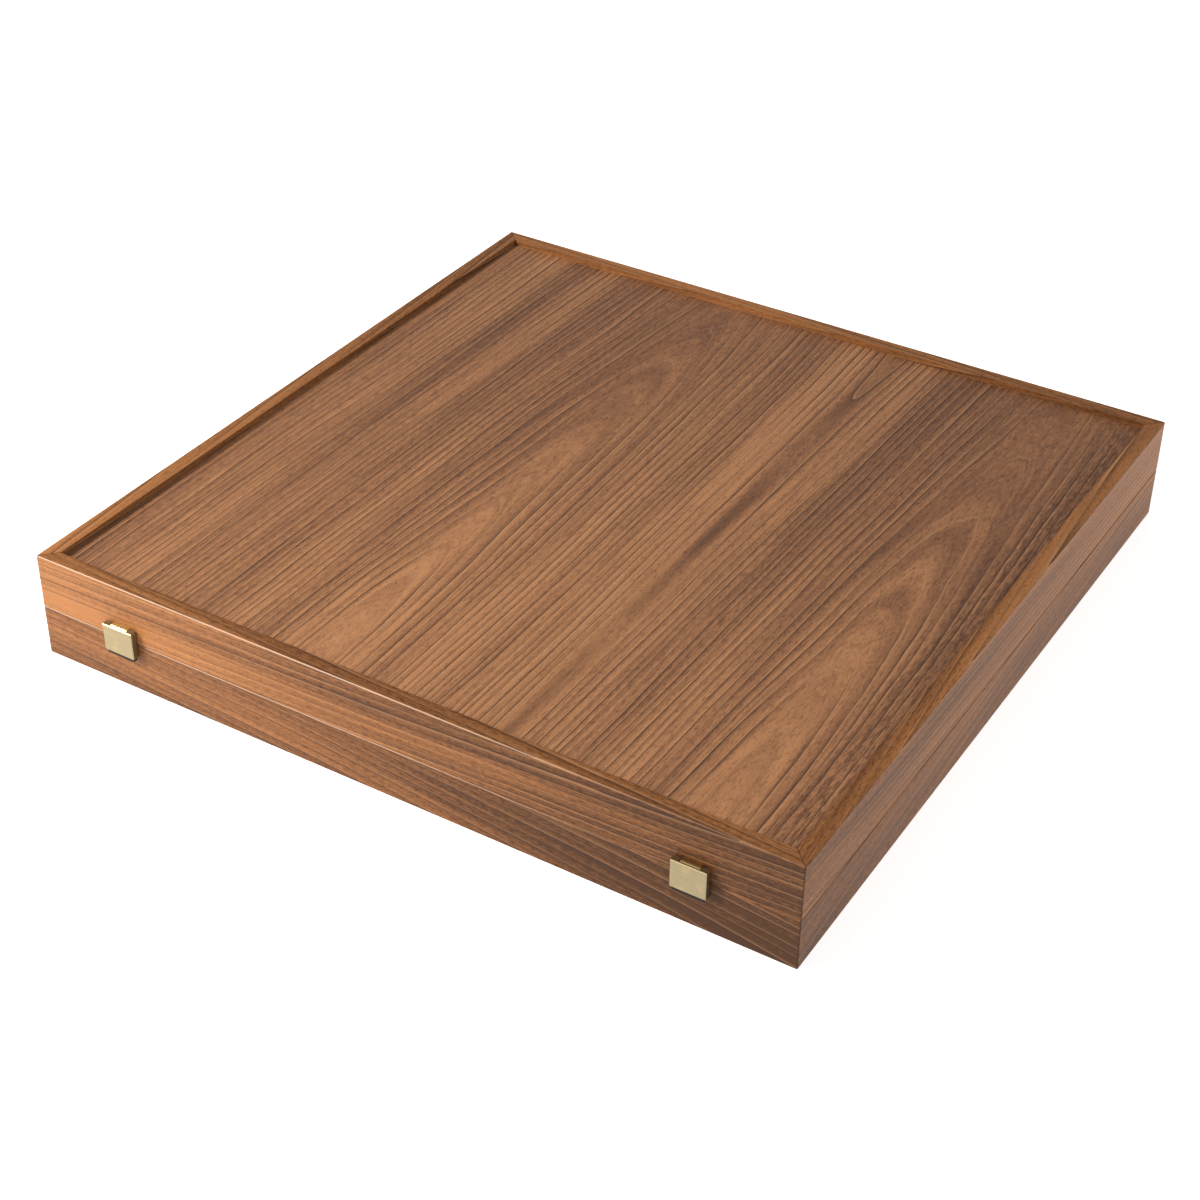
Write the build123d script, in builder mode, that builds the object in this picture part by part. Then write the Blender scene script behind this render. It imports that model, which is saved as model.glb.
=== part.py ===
from build123d import *

import os
from math import atan2, cos, degrees, sin, sqrt

# A chess set in its square walnut case, closed.
# The case is two shallow mitred frames with a grooved panel each, joined by two stop hinges
# at the back and held shut by two magnetic flap clasps at the front.
# The lid holds the playing board face down, and the base holds the chessmen in two foam trays.
# Frame: millimetres, +Z up, front at -Y, origin at the middle of the footprint on the table.

# Case
case_width = 500.0
case_depth = 500.0
base_height = 33.4
lid_height = 35.6
seam_gap = 0.3
rail_thickness = 10.0
edge_easing = 0.6
corner_easing = 0.9
panel_thickness = 4.0
panel_tongue = 4.0
lid_recess = 4.0
base_recess = 2.0

# Hinges
hinge_length = 50.0
hinge_inset = 90.0
leaf_reach = 8.4
leaf_thickness = 1.4
knuckle_radius = 2.5
knuckle_count = 5
knuckle_gap = 0.2
knuckle_clearance = 0.15
barrel_clearance = 0.2
hinge_pin_radius = 1.1
pin_clearance = 0.05
stop_rib_height = 1.1
stop_rib_width = 1.4
stop_rib_angle = 63.0
hinge_screw_spread = 17.0

# Screws: head radius, shank radius, length
hinge_screw = (2.1, 1.0, 10.0)
clasp_screw = (1.25, 0.6, 7.0)
screw_clearance = 0.05
screw_head_slope = 1.1
screw_slot = 0.5

# Clasps, with heights measured from the seam
clasp_inset = 62.0
clasp_width = 21.4
clasp_top = 10.3
clasp_bottom = -7.8
clasp_projection = 5.2
flap_standoff = 1.1
flap_wall = 1.0
flap_front = 1.2
flap_chamfer = 0.5
pivot_drop = 1.7
pivot_out = 2.1
clasp_knuckle_radius = 1.6
clasp_knuckle_width = 11.6
clasp_knuckle_clearance = 0.3
clasp_pin_radius = 0.6
clasp_pin_inset = 0.3
clasp_plate_width = 18.0
clasp_plate_thickness = 0.9
clasp_plate_foot = 1.2
clasp_plate_drop = 1.2
clasp_screw_spread = 6.4
keeper_width = 16.0
keeper_top = -0.8
keeper_bottom = -7.2
carrier_top = 4.6
carrier_lip = 2.2
carrier_clearance = 0.1
clasp_magnet_radius = 3.0
clasp_magnet_thickness = 2.0
clasp_magnet_spread = 3.4

# Board
squares_across = 8
board_clearance = 3.0
least_border = 37.0
board_core_thickness = 12.0
inlay_thickness = 2.0
inlay_joint = 0.1
board_easing = 0.5
board_magnet_radius = 7.5
board_magnet_thickness = 2.0
board_magnet_inset = 15.0
ribbon_width = 12.0
ribbon_thickness = 0.6
ribbon_clearance = 0.3
ribbon_glued_length = 30.0
ribbon_tail_length = 25.0

# Trays
tray_clearance = 0.5
tray_floor_thickness = 2.0
tray_rim_drop = 1.0
tray_end_margin = 7.5
pocket_clearance = 1.5
pocket_corner = 4.0
felt_thickness = 0.8
felt_margin = 1.5
rest_clearance = 0.1

# Chessmen: height, foot radius, collar height, neck radius
pawn_sizes = (49.0, 14.5, 30.0, 4.6)
rook_sizes = (56.0, 16.5, 38.0, 8.0)
knight_sizes = (64.0, 16.5, 14.5, 10.2)
bishop_sizes = (72.0, 16.5, 42.0, 5.0)
queen_sizes = (85.0, 18.0, 52.0, 5.4)
king_sizes = (95.0, 19.0, 57.0, 5.8)
pawn_head_radius = 8.4
rook_head_radius = 11.6
knight_head_half_thickness = 6.5
knight_ear_half_spread = 3.3
knight_reach = 15.0
bishop_head_radius = 8.8
crown_radius = 11.2
finial_radius = 2.5
foot_rim = 3.2

# Places that follow from the sizes
seam = base_height
base_top = seam - seam_gap / 2
lid_bottom = seam + seam_gap / 2
case_height = base_height + lid_height
inner_width = case_width - 2 * rail_thickness
inner_depth = case_depth - 2 * rail_thickness
lid_panel_bottom = case_height - lid_recess - panel_thickness
base_panel_top = base_recess + panel_thickness
hinge_axis_y = case_depth / 2 + knuckle_radius + barrel_clearance
hinge_places = (-case_width / 2 + hinge_inset, case_width / 2 - hinge_inset)
hinge_screw_places = (-hinge_screw_spread, 0.0, hinge_screw_spread)
clasp_places = {"left": -case_width / 2 + clasp_inset, "right": case_width / 2 - clasp_inset}
pivot_height = clasp_top - pivot_drop
flap_inner_front = clasp_projection - flap_front
plate_screw_height = (clasp_plate_foot + pivot_height - clasp_plate_drop) / 2
keeper_screw_height = (keeper_top + keeper_bottom) / 2
board_width = inner_width - 2 * board_clearance
board_depth = inner_depth - 2 * board_clearance
squares_width = min(board_width, board_depth) - 2 * least_border
square_size = squares_width / squares_across
core_bottom = lid_panel_bottom - board_core_thickness
board_face = core_bottom - inlay_thickness
board_magnet_reach = squares_width / 2 - board_magnet_inset
tray_floor = base_panel_top + tray_floor_thickness
tray_top = base_top - tray_rim_drop
tray_outer = inner_depth / 2 - tray_clearance
tray_inner = tray_clearance / 2

os.makedirs("parts", exist_ok=True)


def save(piece, name):
    """Labels a finished piece and writes it as its own node."""
    piece.part.label = name
    export_step(piece.part, f"parts/{name}.step")


# Screws


def countersunk_screw(sizes):
    """A slotted countersunk screw, head face at Z 0 and point down."""
    head, shank, length = sizes
    head_depth = (head - shank) * screw_head_slope
    with BuildPart() as screw:
        with BuildSketch(Plane.XZ):
            with BuildLine():
                Polyline(
                    (0, 0),
                    (head, 0),
                    (shank, -head_depth),
                    (shank, -length + shank),
                    (0, -length),
                    close=True,
                )
            make_face()
        revolve(axis=Axis.Z)
        with Locations((0, 0, 0)):
            Box(2 * head, screw_slot, screw_slot, mode=Mode.SUBTRACT)
    return screw.part


def screw_hole(sizes):
    """What a countersunk screw takes out of the pieces that it goes through."""
    head, shank, length = sizes
    head, shank = head + screw_clearance, shank + screw_clearance
    head_depth = (head - shank) * screw_head_slope
    with BuildPart() as hole:
        with BuildSketch(Plane.XZ):
            with BuildLine():
                Polyline(
                    (0, 0),
                    (head, 0),
                    (shank, -head_depth),
                    (shank, -length - screw_clearance),
                    (0, -length - screw_clearance),
                    close=True,
                )
            make_face()
        revolve(axis=Axis.Z)
    return hole.part


def hinge_screw_planes(x, up):
    """Planes of one leaf's screw heads, each normal pointing out of the wood."""
    y = case_depth / 2 - rail_thickness / 2
    z = seam + up * seam_gap / 2
    return [
        Plane(origin=(x + spread, y, z), x_dir=(1, 0, 0), z_dir=(0, 0, -up))
        for spread in hinge_screw_places
    ]


def clasp_screw_planes(x, height):
    """Planes of the screw heads of one plate on the front, each normal pointing forward."""
    y = -case_depth / 2 - clasp_plate_thickness
    return [
        Plane(origin=(x + spread, y, seam + height), x_dir=(1, 0, 0), z_dir=(0, -1, 0))
        for spread in (-clasp_screw_spread, clasp_screw_spread)
    ]


# Case frames and panels


def rail_blank(length, reach, z_low, z_high, panel_low):
    """A mitred rail along X at the front, with the panel's groove and eased outer edges."""
    end, ease = length / 2, corner_easing
    inner = end - rail_thickness
    with BuildPart() as blank:
        with BuildSketch(Plane.XY.offset(z_low)):
            with BuildLine():
                Polyline(
                    (-end + ease, -reach),
                    (end - ease, -reach),
                    (end - ease / 2, -reach + ease / 2),
                    (inner, -reach + rail_thickness),
                    (-inner, -reach + rail_thickness),
                    (-end + ease / 2, -reach + ease / 2),
                    close=True,
                )
            make_face()
        extrude(amount=z_high - z_low)
        outer = blank.edges().filter_by(Axis.X).group_by(Axis.Y)[0]
        chamfer(outer, length=edge_easing)
        with Locations((0, -reach + rail_thickness - panel_tongue / 2, panel_low + panel_thickness / 2)):
            Box(length, panel_tongue, panel_thickness, mode=Mode.SUBTRACT)
    return blank.part


def cut_hinge_seats(up):
    """Mortises for the leaves, and the screws' holes, in a back rail."""
    seat_depth = leaf_reach
    for x in hinge_places:
        middle = (x, case_depth / 2 - seat_depth / 2, seam + up * (seam_gap + leaf_thickness) / 2)
        with Locations(middle):
            Box(hinge_length, seat_depth, leaf_thickness, mode=Mode.SUBTRACT)
        with Locations(*hinge_screw_planes(x, up)):
            add(screw_hole(hinge_screw), mode=Mode.SUBTRACT)


frame_sides = {
    "front": (case_width, case_depth / 2, 0),
    "right": (case_depth, case_width / 2, 90),
    "back": (case_width, case_depth / 2, 180),
    "left": (case_depth, case_width / 2, 270),
}
# Height range, underside of the panel, side of the seam, and height of the clasp's screws
frames = {
    "base": (0, base_top, base_recess, -1, keeper_screw_height),
    "lid": (lid_bottom, case_height, lid_panel_bottom, 1, plate_screw_height),
}
for frame_name, (z_low, z_high, panel_low, up, screw_height) in frames.items():
    for side, (length, reach, turn) in frame_sides.items():
        with BuildPart() as rail:
            add(rail_blank(length, reach, z_low, z_high, panel_low), rotation=(0, 0, turn))
            if side == "back":
                cut_hinge_seats(up)
            if side == "front":
                for x in clasp_places.values():
                    with Locations(*clasp_screw_planes(x, screw_height)):
                        add(screw_hole(clasp_screw), mode=Mode.SUBTRACT)
        save(rail, f"{frame_name}_{side}_rail")

magnet_places = [
    (x, y)
    for x in (-board_magnet_reach, board_magnet_reach)
    for y in (-board_magnet_reach, board_magnet_reach)
]

with BuildPart() as base_panel:
    with BuildSketch(Plane.XY.offset(base_recess)):
        Rectangle(inner_width + 2 * panel_tongue, inner_depth + 2 * panel_tongue)
    extrude(amount=panel_thickness)
save(base_panel, "base_panel")

with BuildPart() as lid_panel:
    with BuildSketch(Plane.XY.offset(lid_panel_bottom)):
        Rectangle(inner_width + 2 * panel_tongue, inner_depth + 2 * panel_tongue)
    extrude(amount=panel_thickness)
    with BuildSketch(Plane.XY.offset(lid_panel_bottom)):
        with Locations(*magnet_places):
            Circle(board_magnet_radius)
    extrude(amount=board_magnet_thickness, mode=Mode.SUBTRACT)
save(lid_panel, "lid_panel")

# Hinges


def hinge_leaf(up, own_knuckles):
    """One leaf about the hinge's axis: plate, knuckles and the stop rib that meets the other leaf's."""
    plate_length = leaf_reach + knuckle_radius + barrel_clearance
    rib_root = knuckle_radius - stop_rib_height / 2
    rib_top = knuckle_radius + stop_rib_height
    pitch = hinge_length / knuckle_count
    with BuildPart() as leaf:
        with BuildSketch(Plane.YZ.offset(-hinge_length / 2)):
            with Locations((-plate_length / 2, up * (seam_gap + leaf_thickness) / 2)):
                Rectangle(plate_length, leaf_thickness)
            Circle(knuckle_radius)
            with PolarLocations((rib_root + rib_top) / 2, 1, start_angle=up * stop_rib_angle):
                Rectangle(rib_top - rib_root, stop_rib_width)
        extrude(amount=hinge_length)
        for n in range(knuckle_count):
            if n not in own_knuckles:
                with BuildSketch(Plane.YZ.offset((n - knuckle_count / 2) * pitch - knuckle_gap / 2)):
                    Circle(knuckle_radius + knuckle_clearance)
                extrude(amount=pitch + knuckle_gap, mode=Mode.SUBTRACT)
        with BuildSketch(Plane.YZ.offset(-hinge_length / 2)):
            Circle(hinge_pin_radius + pin_clearance)
        extrude(amount=hinge_length, mode=Mode.SUBTRACT)
    return leaf.part


base_knuckles = range(0, knuckle_count, 2)
lid_knuckles = range(1, knuckle_count, 2)
for side, x in zip(("left", "right"), hinge_places):
    for owner, up, knuckles in (("base", -1, base_knuckles), ("lid", 1, lid_knuckles)):
        with BuildPart() as leaf:
            with Locations((x, hinge_axis_y, seam)):
                add(hinge_leaf(up, knuckles))
            with Locations(*hinge_screw_planes(x, up)):
                add(screw_hole(hinge_screw), mode=Mode.SUBTRACT)
        save(leaf, f"{side}_hinge_{owner}_leaf")
    with BuildPart() as hinge_pin:
        with BuildSketch(Plane.YZ.offset(x - hinge_length / 2)):
            with Locations((hinge_axis_y, seam)):
                Circle(hinge_pin_radius)
        extrude(amount=hinge_length)
    save(hinge_pin, f"{side}_hinge_pin")

for owner, up in (("base", -1), ("lid", 1)):
    with BuildPart() as screws:
        for x in hinge_places:
            with Locations(*hinge_screw_planes(x, up)):
                add(countersunk_screw(hinge_screw))
    save(screws, f"hinge_{owner}_screws")

# Clasps. Each is made about X 0 on the front face, heights from the seam, outward along -Y.


def slab(width, out_low, out_high, z_low, z_high, mode=Mode.ADD):
    """A block in the clasp's own terms: width across X, a range outward and a range of height."""
    with BuildSketch(Plane.XZ.offset(out_low)) as outline:
        with Locations((0, (z_low + z_high) / 2)):
            Rectangle(width, z_high - z_low)
    return extrude(outline.sketch, amount=out_high - out_low, mode=mode)


def cross_rod(width, radius, out, z, mode=Mode.ADD):
    """A round rod along X through the clasp."""
    with BuildSketch(Plane.YZ.offset(-width / 2)) as outline:
        with Locations((-out, z)):
            Circle(radius)
    return extrude(outline.sketch, amount=width, mode=mode)


def magnet_discs(mode=Mode.ADD):
    """The two magnets behind the flap, facing the keeper."""
    with BuildSketch(Plane.XZ.offset(flap_standoff)) as outline:
        with Locations(
            (-clasp_magnet_spread, keeper_screw_height),
            (clasp_magnet_spread, keeper_screw_height),
        ):
            Circle(clasp_magnet_radius)
    return extrude(outline.sketch, amount=clasp_magnet_thickness, mode=mode)


with BuildPart() as clasp_plate:
    slab(clasp_plate_width, 0, clasp_plate_thickness, clasp_plate_foot, pivot_height - clasp_plate_drop)
    slab(clasp_knuckle_width, 0, clasp_plate_thickness, clasp_plate_foot, pivot_height)
    slab(
        clasp_knuckle_width,
        0,
        pivot_out,
        pivot_height - clasp_knuckle_radius,
        pivot_height + clasp_knuckle_radius,
    )
    cross_rod(clasp_knuckle_width, clasp_knuckle_radius, pivot_out, pivot_height)
    cross_rod(clasp_knuckle_width, clasp_pin_radius + pin_clearance, pivot_out, pivot_height, Mode.SUBTRACT)

with BuildPart() as clasp_flap:
    slab(clasp_width, flap_standoff, clasp_projection, clasp_bottom, clasp_top)
    chamfer(clasp_flap.faces().sort_by(Axis.Y)[0].edges(), length=flap_chamfer)
    slab(
        clasp_width - 2 * flap_wall,
        flap_standoff,
        flap_inner_front,
        clasp_bottom,
        clasp_top - flap_wall,
        Mode.SUBTRACT,
    )
    slab(
        clasp_knuckle_width + 2 * clasp_knuckle_clearance,
        flap_standoff,
        flap_inner_front,
        clasp_top - flap_wall,
        clasp_top,
        Mode.SUBTRACT,
    )
    cross_rod(clasp_width, clasp_pin_radius + pin_clearance, pivot_out, pivot_height, Mode.SUBTRACT)

with BuildPart() as clasp_pin:
    cross_rod(clasp_width - 2 * clasp_pin_inset, clasp_pin_radius, pivot_out, pivot_height)

with BuildPart() as magnet_carrier:
    slab(
        clasp_width - 2 * flap_wall - 2 * carrier_clearance,
        flap_standoff,
        flap_inner_front,
        clasp_bottom - carrier_lip,
        carrier_top,
    )
    magnet_discs(Mode.SUBTRACT)

with BuildPart() as clasp_magnets:
    magnet_discs()

with BuildPart() as keeper:
    slab(keeper_width, 0, clasp_plate_thickness, keeper_bottom, keeper_top)

# Each clasp's pieces, and the height of the screws that hold it to the wood
clasp_pieces = {
    "clasp_plate": (clasp_plate, plate_screw_height),
    "clasp_keeper": (keeper, keeper_screw_height),
    "clasp_flap": (clasp_flap, None),
    "clasp_pin": (clasp_pin, None),
    "magnet_carrier": (magnet_carrier, None),
    "clasp_magnets": (clasp_magnets, None),
}
for side, x in clasp_places.items():
    for name, (piece, screw_height) in clasp_pieces.items():
        with BuildPart() as placed:
            with Locations((x, -case_depth / 2, seam)):
                add(piece.part)
            if screw_height is not None:
                with Locations(*clasp_screw_planes(x, screw_height)):
                    add(screw_hole(clasp_screw), mode=Mode.SUBTRACT)
        save(placed, f"{side}_{name}")

for name, screw_height in (("clasp_plate", plate_screw_height), ("clasp_keeper", keeper_screw_height)):
    with BuildPart() as screws:
        for x in clasp_places.values():
            with Locations(*clasp_screw_planes(x, screw_height)):
                add(countersunk_screw(clasp_screw))
    save(screws, f"{name}_screws")

# Board, face down in the lid

with BuildPart() as board_core:
    with BuildSketch(Plane.XY.offset(core_bottom)):
        Rectangle(squares_width - 2 * inlay_joint, squares_width - 2 * inlay_joint)
    extrude(amount=board_core_thickness)
    with BuildSketch(Plane.XY.offset(lid_panel_bottom)):
        with Locations(*magnet_places):
            Circle(board_magnet_radius)
    extrude(amount=-board_magnet_thickness, mode=Mode.SUBTRACT)
save(board_core, "board_core")

steel_disc_bottom = lid_panel_bottom - board_magnet_thickness
for name, z_low in (("lid_magnets", lid_panel_bottom), ("board_steel_discs", steel_disc_bottom)):
    with BuildPart() as discs:
        with BuildSketch(Plane.XY.offset(z_low)):
            with Locations(*magnet_places):
                Circle(board_magnet_radius)
        extrude(amount=board_magnet_thickness)
    save(discs, name)

first_square = -(squares_across - 1) * square_size / 2
for colour, parity in (("dark", 0), ("light", 1)):
    with BuildPart() as inlay:
        with BuildSketch(Plane.XY.offset(board_face)):
            with Locations(
                *[
                    (first_square + i * square_size, first_square + j * square_size)
                    for i in range(squares_across)
                    for j in range(squares_across)
                    if (i + j) % 2 == parity
                ]
            ):
                Rectangle(square_size - inlay_joint, square_size - inlay_joint)
        extrude(amount=inlay_thickness)
    save(inlay, f"{colour}_squares")

for side, (_, _, turn) in frame_sides.items():
    half_length, reach = board_width / 2, board_depth / 2
    if side in ("left", "right"):
        half_length, reach = reach, half_length
    inner = squares_width / 2
    with BuildPart() as strip:
        with BuildSketch(Plane.XY.offset(board_face)):
            with BuildLine():
                Polyline(
                    (-half_length + inlay_joint, -reach),
                    (half_length - inlay_joint, -reach),
                    (inner - inlay_joint, -inner),
                    (-inner + inlay_joint, -inner),
                    close=True,
                )
            make_face()
        extrude(amount=lid_panel_bottom - board_face)
        outer_edge = strip.edges().filter_by(Axis.X).group_by(Axis.Y)[0].sort_by(Axis.Z)[0]
        chamfer(outer_edge, length=board_easing)
        if side == "front":
            with BuildSketch(Plane.XY.offset(lid_panel_bottom)):
                with Locations((0, -reach + ribbon_glued_length / 2)):
                    Rectangle(ribbon_width + 2 * ribbon_clearance, ribbon_glued_length)
            extrude(amount=-ribbon_thickness - ribbon_clearance, mode=Mode.SUBTRACT)
    with BuildPart() as turned_strip:
        add(strip.part, rotation=(0, 0, turn))
    save(turned_strip, f"board_{side}_border")

with BuildPart() as board_ribbon:
    edge = -board_depth / 2
    front = edge - ribbon_clearance - ribbon_thickness
    top = lid_panel_bottom - ribbon_clearance / 2
    tail = board_face - ribbon_clearance
    with BuildSketch(Plane.YZ.offset(-ribbon_width / 2)):
        with BuildLine():
            Polyline(
                (edge + ribbon_glued_length - ribbon_clearance, top),
                (front, top),
                (front, tail - ribbon_thickness),
                (edge + ribbon_tail_length, tail - ribbon_thickness),
                (edge + ribbon_tail_length, tail),
                (front + ribbon_thickness, tail),
                (front + ribbon_thickness, top - ribbon_thickness),
                (edge + ribbon_glued_length - ribbon_clearance, top - ribbon_thickness),
                close=True,
            )
        make_face()
    extrude(amount=ribbon_width)
save(board_ribbon, "board_ribbon")

# Chessmen, each turned about Z and standing on Z 0


def turned(steps):
    """Revolves a profile. Each step is a radius and a height, and a third number bulges the line."""
    with BuildPart() as body:
        with BuildSketch(Plane.XZ):
            with BuildLine():
                at = (0, 0)
                for radius, height, *bulge in steps:
                    if bulge:
                        SagittaArc(at, (radius, height), -bulge[0])
                    else:
                        Line(at, (radius, height))
                    at = (radius, height)
                Line(at, (0, 0))
            make_face()
        revolve(axis=Axis.Z)
    return body.part


def foot_and_stem(sizes):
    """Profile steps from the foot up the waisted stem to the underside of the collar."""
    _, foot, collar, neck = sizes
    hollow = 0.075 * (collar - 13.5)
    return [
        (foot - 0.8, 0),
        (foot, 0.8),
        (foot, foot_rim),
        (foot - 2.4, 6.2, 0.8),
        (foot - 3.4, 6.2),
        (foot - 3.4, 7.2),
        (0.62 * foot, 11.3, -0.9),
        (0.62 * foot, 13.3, 0.9),
        (0.5 * foot, 13.5),
        (neck, collar, -hollow),
    ]


def collars(z, low_radius, high_radius, throat):
    """Profile steps of the double collar under a head."""
    return [
        (low_radius, z),
        (low_radius, z + 2.2, 1.0),
        (high_radius - 1.2, z + 2.8),
        (high_radius - 1.2, z + 4.0),
        (high_radius, z + 4.0),
        (high_radius, z + 5.6, 0.7),
        (throat, z + 6.2),
    ]


def ball(radius, from_radius, top):
    """Profile steps of a ball that ends at the axis, from where its underside leaves the shape below."""
    drop = sqrt(radius**2 - from_radius**2)
    half_turn = (atan2(drop, from_radius) + atan2(1, 0)) / 2
    return [
        (from_radius, top - radius - drop),
        (0, top, radius * (1 - cos(half_turn))),
    ]


def make_pawn():
    height, _, collar, _ = pawn_sizes
    return turned(
        foot_and_stem(pawn_sizes)
        + [(8.2, collar), (8.2, collar + 2.2, 1.0), (5.2, collar + 2.8)]
        + ball(pawn_head_radius, 5.2, height)
    )


def make_rook():
    height, _, collar, _ = rook_sizes
    floor, wall, notch = height - 4.0, 3.6, 3.0
    with BuildPart() as rook:
        add(
            turned(
                foot_and_stem(rook_sizes)
                + [
                    (10.2, collar),
                    (10.2, collar + 2.2, 1.0),
                    (8.8, collar + 2.6),
                    (rook_head_radius - 0.5, collar + 7.4, -0.6),
                    (rook_head_radius, collar + 7.8),
                    (rook_head_radius, height),
                    (rook_head_radius - wall, height),
                    (rook_head_radius - wall, floor),
                    (0, floor),
                ]
            )
        )
        for turn in (0, 60, 120):
            with Locations(Location((0, 0, height - notch / 2), (0, 0, turn))):
                Box(3 * rook_head_radius, notch, notch, mode=Mode.SUBTRACT)
    return rook.part


def make_knight():
    height, _, collar, neck = knight_sizes
    shelf = collar + 2.0
    half = knight_head_half_thickness
    with BuildPart() as knight:
        add(turned(foot_and_stem(knight_sizes) + [(11.4, collar), (11.4, shelf, 0.9), (0, shelf)]))
        with BuildSketch(Plane.XZ.offset(-2 * half)) as side_view:
            with BuildLine():
                Spline((-10.2, shelf), (-12.4, 26), (-12.2, 37), (-8.6, 49), (-2.6, 57.5))
                Polyline((-2.6, 57.5), (-1.8, height), (1.6, 60.2), (4.4, 57.6))
                Spline((4.4, 57.6), (7.4, 52.6), (11.2, 46.6), (knight_reach - 0.4, 41.6))
                Polyline(
                    (knight_reach - 0.4, 41.6),
                    (knight_reach, 38.4),
                    (12.6, 35.6),
                    (10.4, 36.4),
                    (8.6, 34.4),
                )
                Spline((8.6, 34.4), (5.4, 36.0), (2.6, 38.6))
                Spline((2.6, 38.6), (4.6, 32.4), (9.6, 25.6), (10.2, shelf))
                Line((10.2, shelf), (-10.2, shelf))
            make_face()
        silhouette = extrude(side_view.sketch, amount=4 * half, mode=Mode.PRIVATE)
        with BuildSketch(Plane.YZ.offset(-2 * neck)) as front_view:
            with BuildLine():
                Polyline(
                    (-half - 1.6, shelf),
                    (-half, 30),
                    (-half + 0.4, 48),
                    (-knight_ear_half_spread, height),
                    (knight_ear_half_spread, height),
                    (half - 0.4, 48),
                    (half, 30),
                    (half + 1.6, shelf),
                    close=True,
                )
            make_face()
        width = extrude(front_view.sketch, amount=4 * neck, mode=Mode.PRIVATE)
        add(silhouette & width)
    return knight.part


def make_bishop():
    height, _, collar, _ = bishop_sizes
    mitre = collar + 6.2
    with BuildPart() as bishop:
        add(
            turned(
                foot_and_stem(bishop_sizes)
                + collars(collar, 9.4, 8.0, 6.0)
                + [(1.6, height - 5.4, bishop_head_radius - 4.2)]
                + ball(finial_radius, 1.6, height)
            )
        )
        with Locations(Location((bishop_head_radius - 2.0, 0, mitre + 11.0), (0, -48, 0))):
            Box(11, 3 * bishop_head_radius, 1.5, mode=Mode.SUBTRACT)
    return bishop.part


def make_queen():
    height, _, collar, _ = queen_sizes
    lip = height - 7.0
    with BuildPart() as queen:
        add(
            turned(
                foot_and_stem(queen_sizes)
                + collars(collar, 10.6, 9.0, 6.2)
                + [
                    (crown_radius - 0.6, lip - 2.2, -1.6),
                    (crown_radius, lip - 0.8),
                    (crown_radius, lip + 0.6),
                    (crown_radius - 2.4, lip + 0.6),
                    (crown_radius - 3.0, lip - 0.6),
                    (2.0, lip + 2.4, 0.9),
                ]
                + ball(finial_radius, 2.0, height)
            )
        )
        with PolarLocations(crown_radius, 9, start_angle=20):
            with Locations(Location((0, 0, lip + 1.2), (0, 90, 0))):
                Cylinder(1.9, 6, mode=Mode.SUBTRACT)
    return queen.part


def make_king():
    height, _, collar, _ = king_sizes
    arm, waist, half_width, half_thickness = 9.6, 1.3, 4.7, 1.6
    lip = height - arm - 5.0
    dome = height - arm + 0.6
    middle = height - arm / 2
    with BuildPart() as king:
        add(
            turned(
                foot_and_stem(king_sizes)
                + collars(collar, 11.2, 9.6, 6.6)
                + [
                    (crown_radius - 0.4, lip - 1.6, -1.4),
                    (crown_radius, lip - 0.4),
                    (crown_radius - 0.6, lip + 0.9),
                    (2.6, dome - 0.6, 1.2),
                    (2.2, dome),
                    (0, dome),
                ]
            )
        )
        with BuildSketch(Plane.XZ.offset(-half_thickness)):
            with BuildLine():
                Polyline(
                    (-2.4, dome - 1.2),
                    (2.4, dome - 1.2),
                    (waist, middle - waist),
                    (half_width, middle - 2.3),
                    (half_width, middle + 2.3),
                    (waist, middle + waist),
                    (2.6, height),
                    (-2.6, height),
                    (-waist, middle + waist),
                    (-half_width, middle + 2.3),
                    (-half_width, middle - 2.3),
                    (-waist, middle - waist),
                    close=True,
                )
            make_face()
        extrude(amount=2 * half_thickness)
    return king.part


# Each kind of man: its solid, its sizes, and where its head touches the floor of its pocket:
# the radius there and its height up the man, then half the width of the head seen from above
chessmen = {
    "pawn": (make_pawn(), pawn_sizes, pawn_head_radius, pawn_sizes[0] - pawn_head_radius, pawn_head_radius),
    "rook": (make_rook(), rook_sizes, rook_head_radius, rook_sizes[0], rook_head_radius),
    "knight": (make_knight(), knight_sizes, knight_ear_half_spread, knight_sizes[0], knight_reach),
    "bishop": (make_bishop(), bishop_sizes, bishop_head_radius, bishop_sizes[2] + 15.0, bishop_head_radius),
    "queen": (make_queen(), queen_sizes, crown_radius, queen_sizes[0] - 6.4, crown_radius),
    "king": (make_king(), king_sizes, crown_radius, king_sizes[0] - 15.0, crown_radius),
}
back_row = ("rook", "knight", "bishop", "queen", "king", "bishop", "knight", "rook")
pocket_pitch = (inner_width - 2 * tray_clearance - 2 * tray_end_margin) / len(back_row)
column_places = [(n - (len(back_row) - 1) / 2) * pocket_pitch for n in range(len(back_row))]


def lean(kind):
    """Angle at which a man lies, foot rim and head both on the floor."""
    _, (_, foot, _, _), head_radius, head_height, _ = chessmen[kind]
    return atan2(foot - head_radius, head_height - foot_rim)


def foot_height(kind):
    """Height of the middle of a lying man's foot over the floor of its pocket."""
    angle = lean(kind)
    laid = chessmen[kind][0].moved(Location(Plane((0, 0, 0), (1, 0, 0), (0, cos(angle), -sin(angle)))))
    return rest_clearance - laid.bounding_box().min.Z


def pocket_ends(kind):
    """Where a man's pocket starts and ends, along the man from the middle of its foot."""
    height, foot, _, _ = chessmen[kind][1]
    return -foot * sin(lean(kind)) - felt_thickness - pocket_clearance, height + pocket_clearance


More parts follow.
